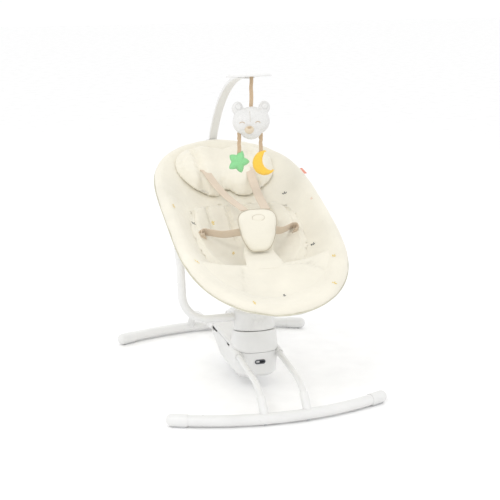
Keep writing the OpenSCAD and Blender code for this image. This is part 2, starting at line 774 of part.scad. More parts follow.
module waist_straps() {
    color(beige) for (s = [-1, 1]) {
        start = [s * 120, -52, pad_base(120, -52) + 25];
        finish = [s * 48, cover_top[1] - 4, 428];
        points = hang(start, finish, 2, 6);
        webbing(points, [for (i = [0:6]) [0, -0.55, 0.83]], [for (i = [0:6]) webbing_w]);
    }
}

module crotch_strap() {
    start = cover_tip + cover_out * -3 + cover_down * 2;
    finish = [0, lip_y + 2, leg_high(0, lip_y) + 4.5];
    points = hang(start, finish, 3, 6);
    color(cream) webbing(points, [for (i = [0:6]) [1, 0, 0]], [for (i = [0:6]) lerp(84, 100, i / 6)]);
}

module at_cover() {
    mid = (cover_top + cover_tip) / 2;
    tip = atan2(-cover_down[2], -cover_down[1]);
    translate(mid) rotate([tip, 0, 0]) rotate([0, 0, 180]) children();
}

// In the cover's frame +Y points down to its tip and +Z out of the seat
cover_len = norm(cover_tip - cover_top);

module buckle_cover() {
    half = cover_len / 2;
    color(cream) at_cover() hull() {
        for (s = [-1, 1], k = [0, 1]) {
            translate([s * (cover_half_w - 16), -half + 16, 3 * k]) cylinder(h = cover_t - 3, r = 16 - 4 * k, $fn = 32);
            translate([s * (cover_tip_w - 24), half - 24, 3 * k]) cylinder(h = cover_t - 3, r = 24 - 4 * k, $fn = 32);
        }
    }
}

module buckle() {
    color(grey) at_cover() difference() {
        translate([-20, -24, -14]) cube([40, 44, 13]);
        translate([0, 0, -8.5]) cylinder(h = 9, r = 8.4);
    }
}

module buckle_button() {
    color([0.75, 0.2, 0.15]) at_cover() translate([0, 0, -6]) cylinder(h = 4.4, r = 8);
}

module side_tag() {
    color([0.93, 0.6, 0.55]) translate([tag_x, tag_y, rim_z(tag_y)]) rotate([recline, 0, 11.6])
        translate([0, -tag_len / 2, -0.8]) cube([14, tag_len, 1.6]);
}
tag_y = 140;
tag_len = 31;
tag_x = half_w(rim_u(tag_y, 0), 0) * pow(1 - pow(rim_u(tag_y, 0), long_power), 1 / side_power) + 0.5;

// ---- toy arm ----
toy_mid_y = -46.7;
toy_mid_z = 412.5;
toy_root = 70;
toy_grip = 63;
hook_y = -72;
plate_top = toy_mid_z + toy_r + 8.5;
plate_tilt = 7;
hook_z = plate_top - 4;    // height of the pin that carries the bear

// Strip that follows the arm's curve between two angles from the vertical
module toy_curve(from, to, w, t) {
    translate([0, toy_mid_y, toy_mid_z]) rotate([0, -90, 0]) rotate([0, 0, from])
        rotate_extrude(angle = to - from, $fn = 96) translate([toy_r, 0]) square([t, w], center = true);
}

module toy_arm() {
    color(white) toy_curve(0, toy_root, toy_w, toy_t);
}

module toy_socket() {
    color(white) difference() {
        union() {
            toy_curve(toy_grip, toy_root + 1.2, toy_w + 10, toy_t + 8);
            translate([-12, socket_y - 6, socket_z - 20]) cube([24, 16, 18]);
        }
        toy_curve(toy_grip - 2, toy_root + 0.1, toy_w + 2 * fit, toy_t + 2 * fit);
        translate([0, ring_head_y, rim_z(ring_head_y)]) rotate([0, 90, 0]) cylinder(h = 60, r = rim_pad_r + 0.4, center = true);
    }
}
ring_head_y = rim_half_l - rim_mid - rim_pad_r;
socket_y = ring_head_y + 14;
socket_z = rim_z(ring_head_y) - 4;

// Shallow round dish over the arm's end, tilted up at the front
module toy_plate() {
    r = plate_d / 2;
    color(white) {
        difference() {
            translate([0, toy_mid_y - 4, plate_top]) rotate([-plate_tilt, 0, 0]) {
                rotate_extrude() polygon([[0, 2.5], [r * 0.5, 1.5], [r - 9, -1], [r - 2, -3.8], [r, -6], [r, -8],
                    [r - 2, -8], [r - 3.5, -5.5], [r - 10, -3.4], [r * 0.5, -1.2], [0, -0.4]]);
                translate([-toy_w / 2 - 2.5, -4, -12]) cube([toy_w + 5, 28, 12]);
            }
            toy_curve(-3, 12, toy_w + 2 * fit, toy_t + 2 * fit);
        }
        translate([0, hook_y, 0]) ribbon_pin(plate_top + 2, hook_z);
    }
}

// ---- hanging toys ----
ribbon_w = 10;
ribbon_t = 1.6;
ribbon_pin_r = 1.5;
ribbon_eye_r = 3.2;
bear_half_w = 50;
bear_half_h = 42.5;
bear_z = plate_top - ribbon_len - bear_half_h;
ear_r = 17;
drop_z = bear_z - 37.5;    // height of the pins that carry the star and the moon
star_pos = [-34, bear_z - 99];
star_ribbon_x = -32;
star_r = 31;
moon_pos = [37, bear_z - 105];
moon_ribbon_x = 26;
moon_r = 33;
toy_t_soft = 16;

// Pin on two small lugs for the loop at the end of a ribbon
module ribbon_pin(top, z) {
    for (s = [-1, 1]) translate([s * (ribbon_w / 2 + 1.5) - 1, -ribbon_eye_r, z - 3]) cube([2, 2 * ribbon_eye_r, top - z + 3]);
    translate([0, 0, z]) rotate([0, 90, 0]) cylinder(h = ribbon_w + 3, r = ribbon_pin_r, center = true);
}

// Ribbon from the loop at z down to low
module ribbon(z, low) {
    difference() {
        union() {
            translate([-ribbon_w / 2, -ribbon_t / 2, low]) cube([ribbon_w, ribbon_t, z - low]);
            translate([0, 0, z]) rotate([0, 90, 0]) cylinder(h = ribbon_w, r = ribbon_eye_r, center = true);
        }
        translate([0, 0, z]) rotate([0, 90, 0]) cylinder(h = ribbon_w + 2, r = ribbon_pin_r + run_fit, center = true);
    }
}

module plush_bear() {
    color([0.96, 0.96, 0.95]) translate([0, hook_y, 0]) {
        translate([0, 0, bear_z]) {
            hull() {
                for (s = [-1, 1]) {
                    translate([s * (bear_half_w - 24), 0, 3]) sphere(r = 24, $fn = 32);
                    translate([s * 16, 0, bear_half_h - 22]) sphere(r = 22, $fn = 32);
                }
                translate([0, 0, 22 - bear_half_h]) sphere(r = 22, $fn = 32);
            }
            for (s = [-1, 1]) translate([s * 34, 6, bear_half_h - 1]) rotate([90, 0, 0]) cylinder(h = 12, r = ear_r);
        }
        ribbon(hook_z, bear_z + bear_half_h - 12);
        for (x = [star_ribbon_x, moon_ribbon_x]) translate([x, 0, 0]) ribbon_pin(bear_z - 12, drop_z);
    }
}

module star_outline(r) {
    polygon([for (i = [0:9]) let (a = 70 + i * 36, q = i % 2 == 0 ? r : r * 0.58) [q * cos(a), q * sin(a)]]);
}

module plush_star() {
    color([0.45, 0.78, 0.5]) translate([0, hook_y, 0]) {
        translate([star_pos[0], toy_t_soft / 2, star_pos[1]]) rotate([90, 0, 0])
            linear_extrude(height = toy_t_soft) star_outline(star_r);
        translate([star_ribbon_x, 0, 0]) ribbon(drop_z, star_pos[1] + star_r - 14);
    }
}

module plush_moon() {
    color([0.98, 0.75, 0.25]) translate([0, hook_y, 0]) {
        translate([moon_pos[0], toy_t_soft / 2, moon_pos[1]]) rotate([90, 0, 0]) linear_extrude(height = toy_t_soft) difference() {
            circle(moon_r);
            rotate(22) {
                translate([26.6, 0]) circle(31.6);
                translate([11, -40]) square([40, 80]);
            }
        }
        translate([moon_ribbon_x, 0, 0]) ribbon(drop_z, moon_pos[1] + moon_r - 9);
    }
}

runner(-1);  // front_runner
runner(1);  // rear_runner
end_caps(-1);  // front_end_caps
end_caps(1);  // rear_end_caps
end_pads(-1);  // front_pads
end_pads(1);  // rear_pads
leg(-1, -1);  // front_left_leg
leg(1, -1);  // front_right_leg
leg(-1, 1);  // rear_left_leg
leg(1, 1);  // rear_right_leg
leg_sockets(-1);  // front_leg_sockets
leg_sockets(1);  // rear_leg_sockets
socket_screws();
lower_shell();
upper_shell();
switch_bezel();
dc_socket();
bearing_carrier();
shaft_bearings();
drive_coil();
stop_bumpers();
circuit_board();
speaker();
power_switch();
main_shaft();
drive_lever();
drive_magnet();
hub_core();
hub_cover(-1);  // hub_front_cover
hub_cover(1);  // hub_rear_cover
hub_screws();
control_panel();
panel_button(-1);  // mode_button
panel_button(0);  // speed_button
panel_button(1);  // sound_button
swing_tube();
recline_sockets();
pivot_pins();
recline_button(-1);  // left_recline_button
recline_button(1);  // right_recline_button
recline_brackets();
seat_ring();
rim_pad();
seat_sling();
leg_rest_pad();
body_insert();
head_pillow();
shoulder_straps();
waist_straps();
crotch_strap();
buckle();
buckle_button();
buckle_cover();
side_tag();
toy_socket();
toy_arm();
toy_plate();
plush_bear();
plush_star();
plush_moon();
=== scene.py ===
"""Looks of the electric baby swing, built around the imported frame. All lengths are metres."""
import json
import math

import bmesh
import bpy
import numpy as np
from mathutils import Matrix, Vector, noise
from mathutils.bvhtree import BVHTree


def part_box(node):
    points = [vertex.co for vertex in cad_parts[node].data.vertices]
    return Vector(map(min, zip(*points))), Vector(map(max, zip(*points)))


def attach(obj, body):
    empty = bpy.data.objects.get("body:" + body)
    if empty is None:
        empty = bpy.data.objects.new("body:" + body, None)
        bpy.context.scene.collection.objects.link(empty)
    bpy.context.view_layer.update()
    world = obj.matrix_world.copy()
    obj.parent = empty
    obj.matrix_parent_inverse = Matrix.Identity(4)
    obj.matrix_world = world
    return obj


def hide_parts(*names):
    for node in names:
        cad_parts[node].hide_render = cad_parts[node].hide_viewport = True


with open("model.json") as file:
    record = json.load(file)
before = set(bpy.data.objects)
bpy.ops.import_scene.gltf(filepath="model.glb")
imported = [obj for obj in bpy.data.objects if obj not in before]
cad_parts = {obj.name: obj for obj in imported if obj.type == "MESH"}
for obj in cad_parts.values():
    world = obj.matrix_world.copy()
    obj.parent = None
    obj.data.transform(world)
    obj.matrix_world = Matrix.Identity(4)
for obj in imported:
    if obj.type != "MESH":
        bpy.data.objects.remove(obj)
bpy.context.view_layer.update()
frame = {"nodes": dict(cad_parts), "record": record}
scene = bpy.context.scene
nodes = frame["nodes"]
UP = Vector((0, 0, 1))


# ---- camera, light and floor ----
def aim(obj, target):
    obj.rotation_euler = (Vector(target) - obj.location).to_track_quat("-Z", "Y").to_euler()


def camera():
    data = bpy.data.cameras.new("camera")
    data.lens = 84.94
    data.sensor_width = 36
    data.shift_x = 0.0136
    data.shift_y = 0.0269
    cam = bpy.data.objects.new("camera", data)
    scene.collection.objects.link(cam)
    cam.location = (-0.8731, -2.9514, 1.1516)
    aim(cam, (0, 0, 0.3108))
    scene.camera = cam


def area_light(name, place, size, power, target=(0, 0, 0.4)):
    data = bpy.data.lights.new(name, "AREA")
    data.shape = "DISK"
    data.size = size
    data.energy = power
    light = bpy.data.objects.new(name, data)
    scene.collection.objects.link(light)
    light.location = place
    aim(light, target)


def lights():
    area_light("key", (-1.9, -2.0, 3.0), 1.2, 26)
    area_light("fill", (2.4, -2.4, 1.8), 2.4, 5)
    area_light("back", (0.6, 2.6, 2.6), 2.0, 8)
    world = bpy.data.worlds.new("studio")
    world.use_nodes = True
    world.node_tree.nodes["Background"].inputs["Color"].default_value = (1, 1, 1, 1)
    world.node_tree.nodes["Background"].inputs["Strength"].default_value = 1.03
    scene.world = world
    scene.view_settings.view_transform = "Standard"


def floor():
    size = 14
    mesh = bpy.data.meshes.new("floor")
    mesh.from_pydata([(-size, -size, 0), (size, -size, 0), (size, size, 0), (-size, size, 0)], [], [(0, 1, 2, 3)])
    obj = bpy.data.objects.new("floor", mesh)
    scene.collection.objects.link(obj)
    mesh.materials.append(plastic("floor_finish", (0.97, 0.97, 0.97), 0.9))


# ---- materials ----
class Nodes:
    """Short way to add shader nodes and join them."""

    def __init__(self, name, colour, rough):
        self.mat = bpy.data.materials.new(name)
        self.mat.use_nodes = True
        self.mat.diffuse_color = (*colour, 1)
        self.tree = self.mat.node_tree
        self.shader = self.tree.nodes["Principled BSDF"]
        self.shader.inputs["Base Color"].default_value = (*colour, 1)
        self.shader.inputs["Roughness"].default_value = rough
        self.place = self.add("ShaderNodeTexCoord").outputs["Object"]

    def add(self, kind, **values):
        node = self.tree.nodes.new(kind)
        for key, value in values.items():
            setattr(node, key, value)
        return node

    def join(self, output, target):
        self.tree.links.new(output, target)

    def noise(self, scale, detail=3.0, rough=0.5):
        tex = self.add("ShaderNodeTexNoise")
        tex.inputs["Scale"].default_value = scale
        tex.inputs["Detail"].default_value = detail
        tex.inputs["Roughness"].default_value = rough
        self.join(self.place, tex.inputs["Vector"])
        return tex.outputs["Fac"]

    def ramp(self, fac, *stops):
        ramp = self.add("ShaderNodeValToRGB")
        elements = ramp.color_ramp.elements
        while len(elements) < len(stops):
            elements.new(0.5)
        for element, (place, colour) in zip(elements, stops):
            element.position = place
            element.color = (*colour, 1)
        self.join(fac, ramp.inputs["Fac"])
        return ramp.outputs["Color"]

    def mix(self, fac, a, b, mode="MIX"):
        mix = self.add("ShaderNodeMix", data_type="RGBA", blend_type=mode)
        for value, socket in ((fac, mix.inputs[0]), (a, mix.inputs[6]), (b, mix.inputs[7])):
            if isinstance(value, bpy.types.NodeSocket):
                self.join(value, socket)
            else:
                socket.default_value = value
        return mix.outputs[2]

    def math(self, kind, a, b=0.0):
        node = self.add("ShaderNodeMath", operation=kind)
        for value, socket in ((a, node.inputs[0]), (b, node.inputs[1])):
            if isinstance(value, bpy.types.NodeSocket):
                self.join(value, socket)
            else:
                socket.default_value = value
        return node.outputs[0]

    def bump(self, height, strength, distance):
        bump = self.add("ShaderNodeBump")
        bump.inputs["Strength"].default_value = strength
        bump.inputs["Distance"].default_value = distance
        self.join(height, bump.inputs["Height"])
        self.join(bump.outputs["Normal"], self.shader.inputs["Normal"])


def shade(colour, factor):
    return tuple(min(1, c * factor) for c in colour)


def plastic(name, colour, rough, coat=0.0, grain=900):
    """Moulded plastic or paint: faint mottling, fine grain, roughness that varies a little."""
    m = Nodes(name, colour, rough)
    mottle = m.noise(14, 4)
    m.join(m.ramp(mottle, (0.3, shade(colour, 0.965)), (0.7, shade(colour, 1.02))), m.shader.inputs["Base Color"])
    spread = m.ramp(m.noise(45, 3), (0.3, (rough - 0.05,) * 3), (0.7, (rough + 0.06,) * 3))
    m.join(spread, m.shader.inputs["Roughness"])
    m.shader.inputs["Coat Weight"].default_value = coat
    m.shader.inputs["Coat Roughness"].default_value = 0.2
    m.bump(m.noise(grain, 2), 0.12, 0.0004)
    return m.mat


def metal(name, colour, rough):
    m = Nodes(name, colour, rough)
    m.shader.inputs["Metallic"].default_value = 1.0
    fine = m.noise(700, 2)
    tone = m.ramp(m.noise(60, 3), (0.3, shade(colour, 0.85)), (0.75, shade(colour, 1.1)))
    m.join(tone, m.shader.inputs["Base Color"])
    m.bump(fine, 0.1, 0.0002)
    return m.mat


def fabric(name, colour, thread=0.0011, sheen=0.35, depth=0.0003, shadow=0.93, twill=False):
    """Knitted or woven cloth: rows of threads in both directions, soft mottling and sheen."""
    m = Nodes(name, colour, 0.9)
    waves = []
    for axis in ("X", "Y"):
        direction = "DIAGONAL" if twill and axis == "X" else axis
        wave = m.add("ShaderNodeTexWave", wave_type="BANDS", bands_direction=direction)
        wave.inputs["Scale"].default_value = 0.31 / thread
        wave.inputs["Distortion"].default_value = 0.6
        wave.inputs["Detail"].default_value = 1
        m.join(m.place, wave.inputs["Vector"])
        waves.append(wave.outputs["Fac"])
    weave = m.math("MULTIPLY", waves[0], waves[1])
    fuzz = m.noise(1400, 3)
    cloudy = m.ramp(m.noise(9, 4, 0.6), (0.28, shade(colour, shadow)), (0.72, shade(colour, 1.03)))
    dyed = m.mix(m.math("MULTIPLY", weave, 0.22), cloudy, (*shade(colour, 0.86), 1))
    m.join(dyed, m.shader.inputs["Base Color"])
    m.shader.inputs["Sheen Weight"].default_value = sheen
    m.shader.inputs["Sheen Roughness"].default_value = 0.45
    m.shader.inputs["Specular IOR Level"].default_value = 0.2
    m.bump(m.math("ADD", m.math("MULTIPLY", weave, 0.7), m.math("MULTIPLY", fuzz, 0.5)), 0.55, depth)
    return m.mat


def plush(name, colour):
    """Short pile: clumps of fibres. The colour follows the bump's own noise: painted shade in the hollows between
    clumps, painted highlight on their tips.
    """
    m = Nodes(name, colour, 0.95)
    pile_and_shade = m.noise(420, 5, 0.7)
    # Painted shade and painted highlight: the bump's noise darkens the hollows and lightens the tips.
    m.join(m.ramp(pile_and_shade, (0.3, shade(colour, 0.86)), (0.68, shade(colour, 1.05))), m.shader.inputs["Base Color"])
    m.shader.inputs["Sheen Weight"].default_value = 0.6
    m.shader.inputs["Sheen Roughness"].default_value = 0.4
    m.shader.inputs["Specular IOR Level"].default_value = 0.15
    m.bump(pile_and_shade, 0.8, 0.0012)
    return m.mat


WHITE = (0.76, 0.76, 0.75)
CREAM = (0.82, 0.785, 0.68)
look = {
    "white_paint": plastic("white_paint", WHITE, 0.32, 0.35, 1500),
    "white_plastic": plastic("white_plastic", (0.77, 0.77, 0.76), 0.42, 0.0, 1100),
    "light_plastic": plastic("light_plastic", (0.72, 0.725, 0.72), 0.4),
    "grey_plastic": plastic("grey_plastic", (0.075, 0.08, 0.09), 0.5),
    # Mid grey of the rubber pads under the runner ends; it also stands in for the shadow line beneath the ends, so
    # it is partly painted shade.
    "rubber_grey": plastic("rubber_grey", (0.5, 0.505, 0.51), 0.8, 0.0, 500),
    "button_red": plastic("button_red", (0.55, 0.05, 0.035), 0.35),
    "board_green": plastic("board_green", (0.02, 0.14, 0.06), 0.4),
    "steel": metal("steel", (0.62, 0.63, 0.65), 0.32),
    "copper": metal("copper", (0.72, 0.33, 0.16), 0.3),
    "cream_fabric": fabric("cream_fabric", CREAM),
    "rim_fabric": fabric("rim_fabric", (0.82, 0.785, 0.68)),
    "pillow_fabric": fabric("pillow_fabric", (0.82, 0.782, 0.675), 0.0013, 0.35),
    "webbing_beige": fabric("webbing_beige", (0.70, 0.59, 0.47), 0.0016, 0.2, 0.0005, 0.9, True),
    "tag_pink": fabric("tag_pink", (0.85, 0.36, 0.27), 0.0009, 0.2),
    "plush_white": plush("plush_white", (0.77, 0.765, 0.75)),
    "plush_green": plush("plush_green", (0.29, 0.68, 0.32)),
    "plush_yellow": plush("plush_yellow", (0.95, 0.60, 0.09)),
}
# Piping cloth: the cream darkened evenly, partly painted shade for the thin shaded line along the rim's outer edge.
piping_and_shade_cloth = fabric("piping_and_shade_cloth", (0.62, 0.60, 0.49), 0.0009, 0.1)
seam_thread = fabric("seam_thread", (0.58, 0.53, 0.43), 0.0006, 0.1)
ribbon_cloth = fabric("ribbon_cloth", (0.56, 0.42, 0.28), 0.0009, 0.2)
snout_cloth = fabric("snout_cloth", (0.70, 0.60, 0.46), 0.001, 0.3)
dark_print = fabric("dark_print", (0.09, 0.1, 0.1), 0.0009, 0.1)
gold_print = fabric("gold_print", (0.82, 0.62, 0.2), 0.0009, 0.1)
clay_print = fabric("clay_print", (0.8, 0.6, 0.48), 0.0009, 0.1)

for part in frame["record"]["subparts"]:
    cad = nodes[part["node"]]
    cad.data.materials.clear()
    cad.data.materials.append(look[part["material_slot"]])


# ---- mesh helpers ----
def mesh_object(name, points, faces, mat):
    mesh = bpy.data.meshes.new(name)
    mesh.from_pydata([tuple(p) for p in points], [], faces)
    obj = bpy.data.objects.new(name, mesh)
    scene.collection.objects.link(obj)
    mesh.materials.append(mat)
    tidy_normals(obj)
    return obj


def tidy_normals(obj):
    work = bmesh.new()
    work.from_mesh(obj.data)
    bmesh.ops.recalc_face_normals(work, faces=work.faces)
    work.to_mesh(obj.data)
    work.free()
    obj.data.shade_smooth()


def skin(name, rings, mat, loop=False):
    """Closed skin over rings of points: a loop of rings, or a stack closed by a fan at each end."""
    count = len(rings[0])
    points = [p for ring in rings for p in ring]
    faces = []
    for i in range(len(rings) if loop else len(rings) - 1):
        a, b = i * count, (i + 1) % len(rings) * count
        faces += [(a + j, b + j, b + (j + 1) % count, a + (j + 1) % count) for j in range(count)]
    if not loop:
        for first in (0, (len(rings) - 1) * count):
            centre = np.mean(points[first:first + count], axis=0)
            points.append(centre)
            faces += [(first + j, first + (j + 1) % count, len(points) - 1) for j in range(count)]
    return mesh_object(name, points, faces, mat)


def smooth(obj, levels=1):
    """Applies a subdivision to the mesh."""
    apply_modifier(obj, "SUBSURF", levels=levels, render_levels=levels)
    obj.data.shade_smooth()
    return obj


def apply_modifier(obj, kind, **values):
    mod = obj.modifiers.new(kind, kind)
    for key, value in values.items():
        setattr(mod, key, value)
    evaluated = obj.evaluated_get(bpy.context.evaluated_depsgraph_get())
    mesh = bpy.data.meshes.new_from_object(evaluated)
    obj.modifiers.remove(mod)
    old = obj.data
    obj.data = mesh
    bpy.data.meshes.remove(old)


def coords(mesh):
    co = np.empty(len(mesh.vertices) * 3)
    mesh.vertices.foreach_get("co", co)
    return co.reshape(-1, 3)


def set_coords(mesh, co):
    mesh.vertices.foreach_set("co", np.asarray(co, dtype=np.float32).ravel())
    mesh.update()


def normals(mesh):
    out = np.empty(len(mesh.vertices) * 3)
    mesh.vertices.foreach_get("normal", out)
    return out.reshape(-1, 3)


def puff(obj, voxel=0.005, pressure=4.0, cap=0.008):
    """Blows a stuffed piece up with a cloth simulation; no point moves further than cap."""
    apply_modifier(obj, "REMESH", mode="VOXEL", voxel_size=voxel, use_smooth_shade=True)
    start = coords(obj.data)
    mod = obj.modifiers.new("cloth", "CLOTH")
    mod.settings.quality = 5
    mod.settings.use_pressure = True
    mod.settings.uniform_pressure_force = pressure
    mod.settings.effector_weights.gravity = 0
    mod.settings.tension_stiffness = 12
    mod.settings.bending_stiffness = 0.4
    mod.point_cache.frame_end = 20
    for step in range(1, 21):
        scene.frame_set(step)
    evaluated = obj.evaluated_get(bpy.context.evaluated_depsgraph_get())
    moved = coords(evaluated.to_mesh()) - start
    evaluated.to_mesh_clear()
    obj.modifiers.remove(mod)
    scene.frame_set(1)
    length = np.linalg.norm(moved, axis=1, keepdims=True)
    set_coords(obj.data, start + moved * np.minimum(1, cap / np.maximum(length, 1e-9)))
    apply_modifier(obj, "SMOOTH", factor=0.5, iterations=2)
    return smooth(obj)


def to_line(co, line):
    """Distance from each point to a polyline seen from above, and how far along the line it lies."""
    best = np.full(len(co), 9.0)
    along = np.zeros(len(co))
    done = 0.0
    for a, b in zip(line[:-1], line[1:]):
        a, b = np.array(a[:2]), np.array(b[:2])
        step = b - a
        length = np.linalg.norm(step)
        f = np.clip(((co[:, :2] - a) @ step) / length**2, 0, 1)
        away = np.linalg.norm(co[:, :2] - (a + f[:, None] * step), axis=1)
        nearer = away < best
        best[nearer] = away[nearer]
        along[nearer] = (done + f * length)[nearer]
        done += length
    return best, along


def press(obj, lines, depth, width, pucker=0.0, pitch=0.016, above=-0.2):
    """Sinks a mesh along seam lines, with small puckers beside them. Only faces that look up move."""
    co, norm = coords(obj.data), normals(obj.data)
    sink = np.zeros(len(co))
    for line in lines:
        away, along = to_line(co, line)
        sink = np.maximum(sink, depth * np.exp(-((away / width) ** 2)))
        sink += pucker * np.exp(-((away / (2.2 * width)) ** 2)) * np.sin(along / pitch * 2 * math.pi)
    set_coords(obj.data, co - norm * (sink * (norm[:, 2] > above))[:, None])
    return obj


def ripple(obj, amount, scale, seed=0.0):
    """Soft unevenness of stuffed cloth, along the normals."""
    co, norm = coords(obj.data), normals(obj.data)
    shift = np.array([noise.noise(Vector(p) * scale + Vector((seed, 0, 0))) for p in co])
    set_coords(obj.data, co + norm * (shift * amount)[:, None])
    return obj


def frames_along(points, closed):
    """Unit directions along a line of points."""
    points = np.asarray(points, float)
    if closed:
        ahead, behind = np.roll(points, -1, 0), np.roll(points, 1, 0)
    else:
        ahead, behind = np.vstack([points[1:], points[-1:]]), np.vstack([points[:1], points[:-1]])
    along = ahead - behind
    return along / np.linalg.norm(along, axis=1, keepdims=True)


def tube(name, points, radius, mat, closed=False, sides=10, flat=1.0):
    """Round or flattened cord through a line of points."""
    points = np.asarray(points, float)
    along = frames_along(points, closed)
    radii = np.full(len(points), radius) if np.isscalar(radius) else np.asarray(radius)
    rings = []
    for p, d, r in zip(points, along, radii):
        side = np.cross(d, (0, 0, 1.0))
        side = side / np.linalg.norm(side) if np.linalg.norm(side) > 1e-4 else np.array((1.0, 0, 0))
        top = np.cross(side, d)
        turns = [k * 2 * math.pi / sides for k in range(sides)]
        rings.append([p + r * (math.cos(k) * side + flat * math.sin(k) * top) for k in turns])
    return skin(name, rings, mat, closed)


def strap(name, points, across, width, thick, mat):
    """Flat webbing with rounded selvedges. across is the width direction at each point."""
    points = np.asarray(points, float)
    along = frames_along(points, False)
    widths = np.full(len(points), width) if np.isscalar(width) else np.asarray(width)
    section = [(-1, -0.2), (-0.96, -0.8), (-0.8, -1), (0, -1), (0.8, -1), (0.96, -0.8),
               (1, -0.2), (1, 0.2), (0.96, 0.8), (0.8, 1), (0, 1), (-0.8, 1), (-0.96, 0.8), (-1, 0.2)]
    rings = []
    for p, d, a, w in zip(points, along, across, widths):
        a = np.array(a, float) - d * np.dot(a, d)
        a = a / np.linalg.norm(a)
        n = np.cross(d, a)
        rings.append([p + a * u * w / 2 + n * v * thick / 2 for u, v in section])
    return skin(name, rings, mat)


def curve(points, count):
    """Smooth line through a few points, Catmull-Rom."""
    p = np.asarray([points[0], *points, points[-1]], float)
    out = []
    for i in range(1, len(p) - 2):
        a, b, c, d = p[i - 1], p[i], p[i + 1], p[i + 2]
        for t in np.linspace(0, 1, count, endpoint=False):
            bend = (2 * a - 5 * b + 4 * c - d) * t**2 + (3 * b - a - 3 * c + d) * t**3
            out.append(0.5 * (2 * b + (c - a) * t + bend))
    out.append(p[-2])
    return np.array(out)


def tree_of(*objs):
    points, faces = [], []
    for obj in objs:
        first = len(points)
        points += [v.co.copy() for v in obj.data.vertices]
        faces += [[first + i for i in f.vertices] for f in obj.data.polygons]
    return BVHTree.FromPolygons(points, faces)


def drape(tree, x, y, lift=0.0):
    """Point of the top surface at x, y, lifted along its normal."""
    place, normal, _, _ = tree.ray_cast(Vector((x, y, 1.2)), -UP)
    if place is None:
        place, normal, _, _ = tree.find_nearest(Vector((x, y, rim_z(y))))
    normal = normal if normal.z > 0 else -normal
    return np.array(place + normal * lift)


def soft(obj, slot, *replaced, fill=0.6, body="seat"):
    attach(obj, body)
    if replaced:
        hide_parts(*replaced)
    return obj


def trim(obj, body="seat"):
    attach(obj, body)
    return obj


# ---- seat surfaces, the same as the frame's ----
rim_low, rim_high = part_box("rim_pad")
RIM_W = rim_high.x
RIM_L = (rim_high.y - rim_low.y) / 2
RIM_MID = -(rim_high.y + rim_low.y) / 2
RIM_Z0 = 0.472
RECLINE = math.tan(math.radians(21.5))
FOOT_DIP = 0.037
RIM_R = 0.013
TAPER = 0.015
LONG_POWER, SIDE_POWER = 3.85, 1.9
SLING_INSET = 2 * RIM_R + 0.001
SHALLOW, DEEP = 0.038, 0.062


def signed_pow(v, e):
    return math.copysign(abs(v) ** e, v)


def rim_z(y):
    return RIM_Z0 + y * RECLINE - FOOT_DIP * max(0, -y / (RIM_L + RIM_MID)) ** 2.5


def half_w(u, inset):
    return (RIM_W - inset) * (1 - TAPER * u)


def outline(t, inset):
    u = signed_pow(math.sin(t), 2 / LONG_POWER)
    return half_w(u, inset) * signed_pow(math.cos(t), 2 / SIDE_POWER), u * (RIM_L - inset) - RIM_MID


def level(x, y, inset):
    u = (y + RIM_MID) / (RIM_L - inset)
    return (abs(x) / half_w(u, inset)) ** SIDE_POWER + abs(u) ** LONG_POWER


def sling_z(x, y):
    drop = SHALLOW + DEEP * math.exp(-(((y + 0.09) / 0.15) ** 2))
    return rim_z(y) - drop * (1 - min(1, level(x, y, SLING_INSET)) ** 1.2)


def smoothstep(v):
    v = min(1, max(0, v))
    return v * v * (3 - 2 * v)


def ring_turns(count):
    """Angles that spread points evenly round the squarish outline."""
    return [a - math.radians(18) * math.sin(2 * a) for a in (i * 2 * math.pi / count for i in range(count))]


def rim_frame(t, inset):
    """Point on the rim's line with its outward and upward directions."""
    def at(v):
        x, y = outline(v, inset)
        return np.array((x, y, rim_z(y)))

    along = at(t + 0.02) - at(t - 0.02)
    along /= np.linalg.norm(along)
    plane = np.array((0, -math.sin(math.atan(RECLINE)), math.cos(math.atan(RECLINE))))
    out = np.cross(along, plane)
    out /= np.linalg.norm(out)
    up = np.cross(out, along)
    return at(t), out, up / np.linalg.norm(up)


# ---- seat cover: rim roll and sling as one padded shell ----
def cover_top_z(x, y, r):
    """Padded surface: full height at the rim, a thinner quilt in the bowl."""
    return sling_z(x, y) + 0.0105 * smoothstep((r - 0.72) / 0.28) + 0.0008


def seat_cover():
    turns = ring_turns(176)
    roll = RIM_R + 0.0022
    rings = []

    def bowl_ring(r, height):
        ring = []
        for t in turns:
            x, y = outline(t, SLING_INSET)
            x, y = x * r, (y + RIM_MID) * r - RIM_MID
            ring.append((x, y, height(x, y, r)))
        return ring

    for r in (0.04, 0.2, 0.35, 0.5, 0.62, 0.73, 0.82, 0.9, 0.96):
        rings.append(bowl_ring(r, lambda x, y, r: sling_z(x, y) - 0.0058))
    rims = [rim_frame(t, RIM_R) for t in turns]
    for angle in range(-118, 129, 20):
        a = math.radians(angle)
        rings.append([p + roll * (math.cos(a) * out + math.sin(a) * up) for p, out, up in rims])
    for r in (0.985, 0.95, 0.9, 0.84, 0.77, 0.69, 0.6, 0.5, 0.4, 0.3, 0.2, 0.1, 0.03):
        rings.append(bowl_ring(r, cover_top_z))
    obj = skin("seat_cover", rings, look["cream_fabric"])
    smooth(obj)
    ripple(obj, 0.0016, 21)
    ripple(obj, 0.0007, 60, 4)
    return soft(obj, "cream_fabric", "rim_pad", "seat_sling", fill=0.5)


# Cord along the rim's outer edge, partly piping and partly painted shade: its darker cream stands in for the shade
# where the roll turns down.
def rim_piping_and_shade():
    rims = [rim_frame(t, RIM_R) for t in ring_turns(220)]
    a = math.radians(-14)
    line = [p + (RIM_R + 0.0028) * (math.cos(a) * out + math.sin(a) * up) for p, out, up in rims]
    return trim(tube("rim_piping_and_shade", line, 0.0018, piping_and_shade_cloth, True))


# ---- cushions on the sling ----
def pad_base(x, y):
    return sling_z(x, y) + 0.0048 + 0.006 * min(1, level(x, y, 0) / 0.7) ** 3


